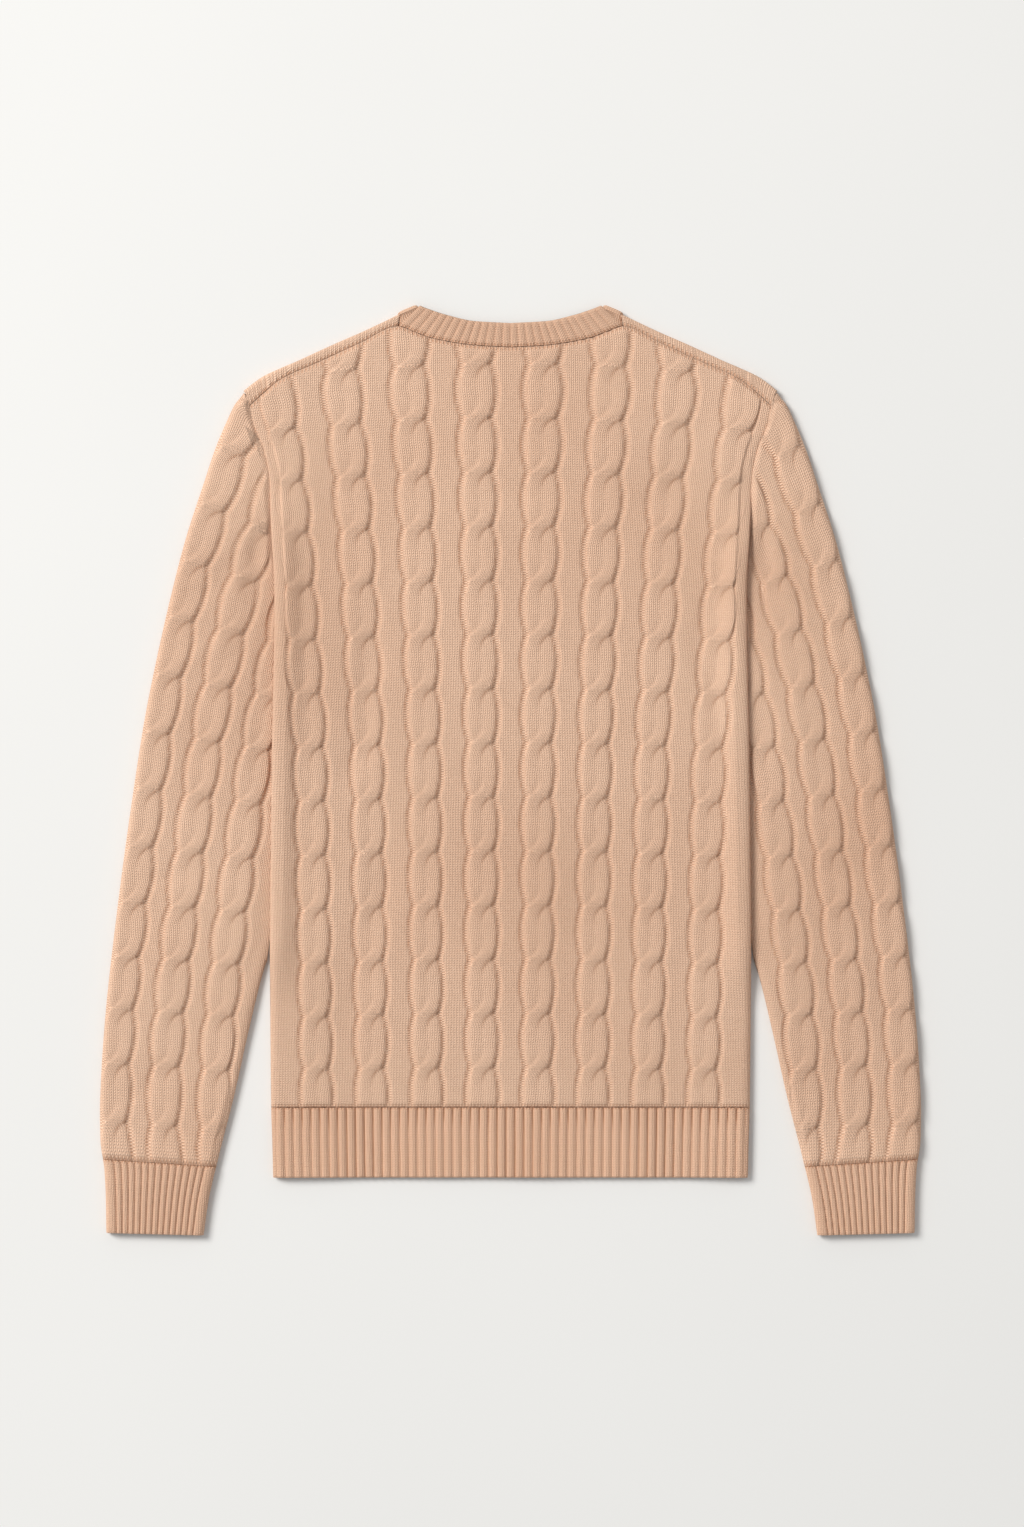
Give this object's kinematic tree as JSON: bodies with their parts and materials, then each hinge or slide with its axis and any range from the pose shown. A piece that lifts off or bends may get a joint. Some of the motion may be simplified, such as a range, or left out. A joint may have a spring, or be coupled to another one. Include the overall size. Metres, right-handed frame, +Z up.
{
  "type": "cable knit sweater",
  "caption": "Crew neck cable knit sweater laid flat on its front, with ribbed hem, cuffs and neckband and long set-in sleeves beside the body.",
  "frame": {"origin": "centre of the bounding box in X and Y, on the surface the sweater lies on", "axes": "+X across the body towards the sleeve named right, as seen with the neck up, +Y from the hem to the neck, +Z up, away from the surface; the back of the sweater faces up"},
  "size_m": [0.6478, 0.7342, 0.0143],
  "materials": {
    "cable_knit": "soft matt cotton yarn, peach beige, knitted",
    "rib_knit": "soft matt cotton yarn, peach beige, ribbed"
  },
  "bodies": {
    "root": {"back": "cable_knit", "front": "cable_knit", "hem_rib_back": "rib_knit", "hem_rib_front": "rib_knit", "sleeve_right": "cable_knit", "sleeve_left": "cable_knit", "cuff_right": "rib_knit", "cuff_left": "rib_knit", "neckband": "rib_knit"}
  },
  "joints": []
}
